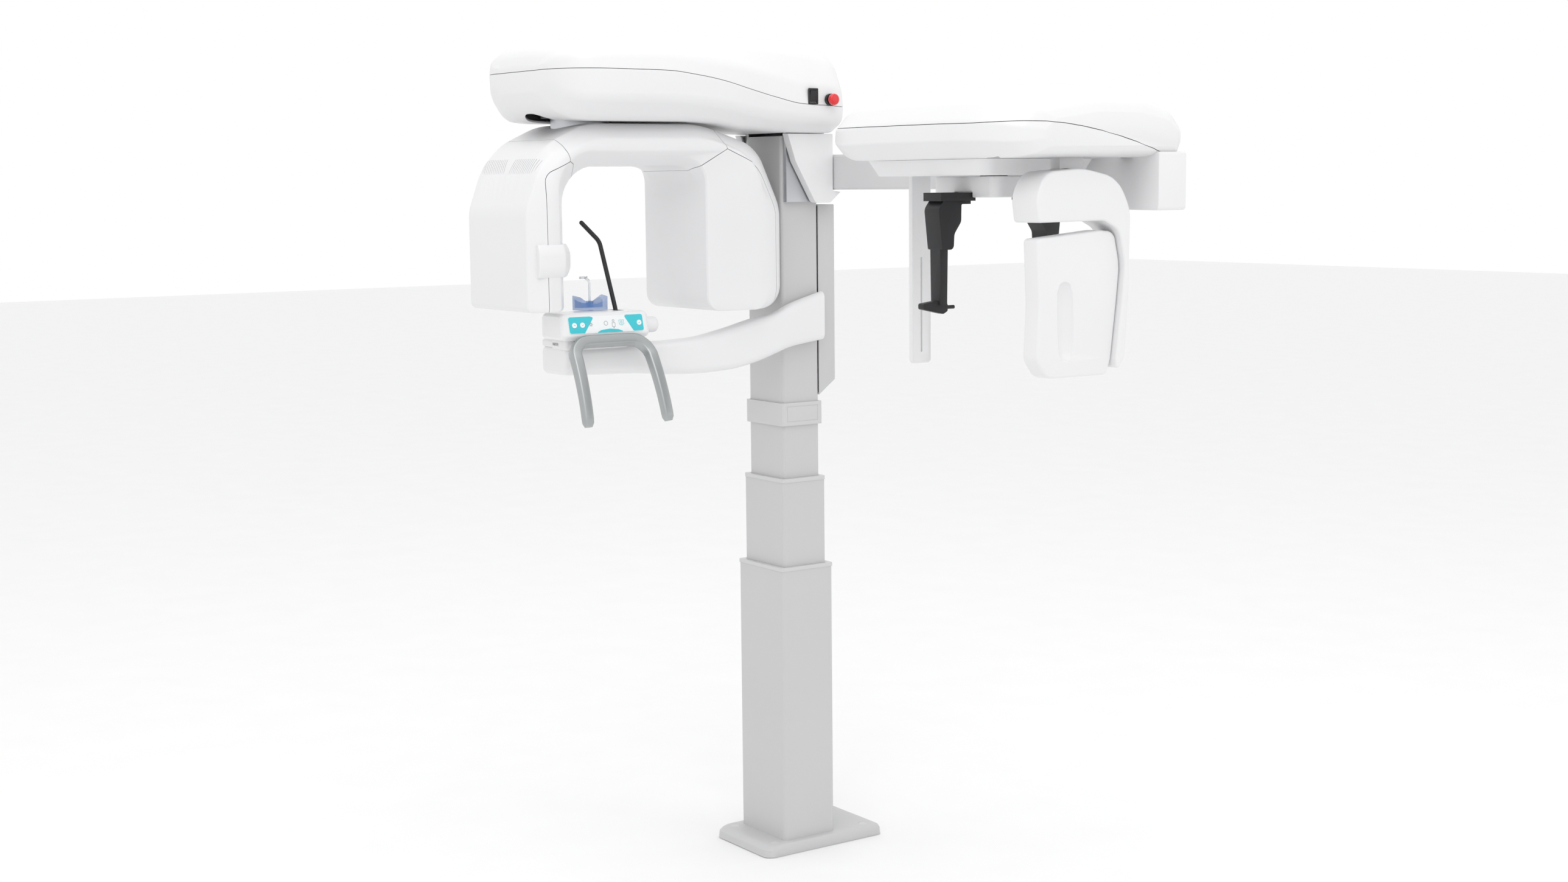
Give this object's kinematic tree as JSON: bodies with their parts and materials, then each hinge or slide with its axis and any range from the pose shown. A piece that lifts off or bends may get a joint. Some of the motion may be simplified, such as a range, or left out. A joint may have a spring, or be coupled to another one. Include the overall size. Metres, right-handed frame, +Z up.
{
  "type": "panoramic x-ray machine",
  "caption": "Floor-standing dental X-ray machine: telescopic column, overhead arm with a rotating C-shaped arm, chin rest with control panel, and a side head holder with a scanning sensor.",
  "frame": {"origin": "where the column's axis meets the floor", "axes": "+Z up, -Y forward along the overhead arm, +X towards the cephalometric head"},
  "size_m": [1.551, 1.053, 2.126],
  "materials": {
    "white_paint": "satin white powder coat",
    "white_plastic": "satin white moulded plastic",
    "grey_cap": "light grey cap",
    "steel": "machined",
    "cast_alloy": "cast",
    "handle_alloy": "satin grey",
    "black_plastic": "fine matt",
    "motor_black": "black",
    "red_plastic": "gloss red",
    "blue_clear": "clear blue plastic",
    "clear_plastic": "clear plastic",
    "panel_film": "printed film, white and turquoise",
    "button_white": "white"
  },
  "bodies": {
    "column_base": {"floor_base_plate": "white_paint", "base_bolt_caps": "grey_cap", "column_lower_tube": "white_paint", "lower_guide_collar": "white_plastic", "lift_motor": "motor_black", "lift_screw": "steel"},
    "middle_stage": {"column_middle_tube": "white_paint", "middle_guide_collar": "white_plastic", "hollow_lift_screw": "steel"},
    "carriage": {"column_upper_tube": "white_paint", "upper_nut_plate": "steel", "column_collar": "white_plastic", "column_rear_cover": "white_paint", "carriage_frame": "cast_alloy", "carriage_side_cover_right": "white_plastic", "carriage_side_cover_left": "white_plastic", "ceph_beam": "white_paint", "overhead_top_cover": "white_plastic", "overhead_bottom_cover": "white_plastic", "overhead_frame": "cast_alloy", "stage_rails": "steel", "mains_switch_bezel": "black_plastic", "estop_collar": "black_plastic", "chin_rest_arm": "white_plastic", "control_panel_housing": "white_plastic", "panel_membrane": "panel_film", "patient_handle": "handle_alloy", "ceph_top_cover": "white_plastic", "ceph_bottom_cover": "white_plastic", "ceph_turntable_pod": "white_plastic", "ceph_scan_rail": "steel"},
    "bearing_stage": {"stage_plate": "cast_alloy", "rotation_bearing_ring": "steel", "rotation_motor": "motor_black"},
    "rotating_arm": {"rotation_hub": "cast_alloy", "rotating_arm_frame": "cast_alloy", "arch_bridge_cover": "white_plastic", "tube_housing_outer_cover": "white_plastic", "tube_housing_inner_cover": "white_plastic", "collimator_nose": "white_plastic", "xray_tube_head": "motor_black", "sensor_housing_front_cover": "white_plastic", "sensor_housing_rear_cover": "white_plastic", "panoramic_image_sensor": "black_plastic"},
    "head_rest": {"head_rest_rod": "black_plastic", "head_rest_knob": "white_plastic"},
    "chin_support": {"chin_support_cup": "blue_clear"},
    "bite_stick": {"bite_stick": "clear_plastic"},
    "button_up": {"button_up": "button_white"},
    "button_down": {"button_down": "button_white"},
    "button_confirm": {"button_confirm": "button_white"},
    "mains_rocker": {"mains_rocker": "black_plastic"},
    "estop_button": {"estop_button": "red_plastic"},
    "head_holder": {"ear_rod_carrier": "white_plastic"},
    "ear_rod_front": {"ear_rod_arm_front": "black_plastic"},
    "ear_rod_rear": {"ear_rod_arm_rear": "black_plastic"},
    "ceph_scanner": {"ceph_scan_strut": "white_plastic", "ceph_sensor_arm": "white_plastic"},
    "ceph_sensor": {"ceph_sensor_cassette": "white_plastic"},
    "ceph_collimator": {"ceph_collimator_plate": "white_plastic"}
  },
  "joints": [
    {"name": "middle_lift", "type": "slide", "parent": "column_base", "child": "middle_stage", "axis": [0, 0, 1], "range_m": [-0.135, 0.165]},
    {"name": "upper_lift", "type": "slide", "parent": "middle_stage", "child": "carriage", "axis": [0, 0, 1], "range_m": [-0.135, 0.165]},
    {"name": "stage_travel", "type": "slide", "parent": "carriage", "child": "bearing_stage", "axis": [0, 1, 0], "range_m": [-0.035, 0]},
    {"name": "arm_rotation", "type": "hinge", "parent": "bearing_stage", "child": "rotating_arm", "pos_m": [0, -0.6, 1.93], "axis": [0, 0, 1], "range_deg": [-95, 275]},
    {"name": "head_rest_tilt", "type": "hinge", "parent": "carriage", "child": "head_rest", "pos_m": [0.076, -0.546, 1.416], "axis": [0, 1, 0], "range_deg": [-12, 12]},
    {"name": "chin_support_lift", "type": "slide", "parent": "carriage", "child": "chin_support", "axis": [0, 0, 1], "range_m": [0, 0.04]},
    {"name": "bite_stick_pull", "type": "slide", "parent": "chin_support", "child": "bite_stick", "axis": [0, 0, 1], "range_m": [0, 0.03]},
    {"name": "up_press", "type": "slide", "parent": "carriage", "child": "button_up", "axis": [-0.9724, 0, -0.2334], "range_m": [0, 0.001], "stiffness_N_per_m": 300},
    {"name": "down_press", "type": "slide", "parent": "carriage", "child": "button_down", "axis": [-0.9724, 0, -0.2334], "range_m": [0, 0.001], "stiffness_N_per_m": 300},
    {"name": "confirm_press", "type": "slide", "parent": "carriage", "child": "button_confirm", "axis": [-0.9724, 0, -0.2334], "range_m": [0, 0.001], "stiffness_N_per_m": 300},
    {"name": "mains_rocker_tilt", "type": "hinge", "parent": "carriage", "child": "mains_rocker", "pos_m": [0.179, -0.03, 1.977], "axis": [0, 1, 0], "range_deg": [0, 8]},
    {"name": "estop_press", "type": "slide", "parent": "carriage", "child": "estop_button", "axis": [-1, 0, 0], "range_m": [0, 0.004]},
    {"name": "head_holder_turn", "type": "hinge", "parent": "carriage", "child": "head_holder", "pos_m": [0.975, -0.105, 1.79], "axis": [0, 0, 1], "range_deg": [0, 90]},
    {"name": "ear_rod_front_slide", "type": "slide", "parent": "head_holder", "child": "ear_rod_front", "axis": [0, 1, 0], "range_m": [0, 0.05]},
    {"name": "ear_rod_rear_slide", "type": "slide", "parent": "head_holder", "child": "ear_rod_rear", "axis": [0, 1, 0], "range_m": [-0.05, 0]},
    {"name": "ceph_sensor_scan", "type": "slide", "parent": "carriage", "child": "ceph_scanner", "axis": [0, 1, 0], "range_m": [-0.16, 0.04]},
    {"name": "ceph_collimator_scan", "type": "slide", "parent": "carriage", "child": "ceph_collimator", "axis": [0, 1, 0], "range_m": [-0.12, 0.03]},
    {"name": "ceph_sensor_pull", "type": "slide", "parent": "ceph_scanner", "child": "ceph_sensor", "axis": [0, -1, 0], "range_m": [0, 0.08]}
  ],
  "couplings": [
    {"joint": "middle_lift", "follows": "upper_lift", "ratio": 1},
    {"joint": "ear_rod_rear_slide", "follows": "ear_rod_front_slide", "ratio": -1},
    {"joint": "ceph_collimator_scan", "follows": "ceph_sensor_scan", "ratio": 0.69}
  ]
}
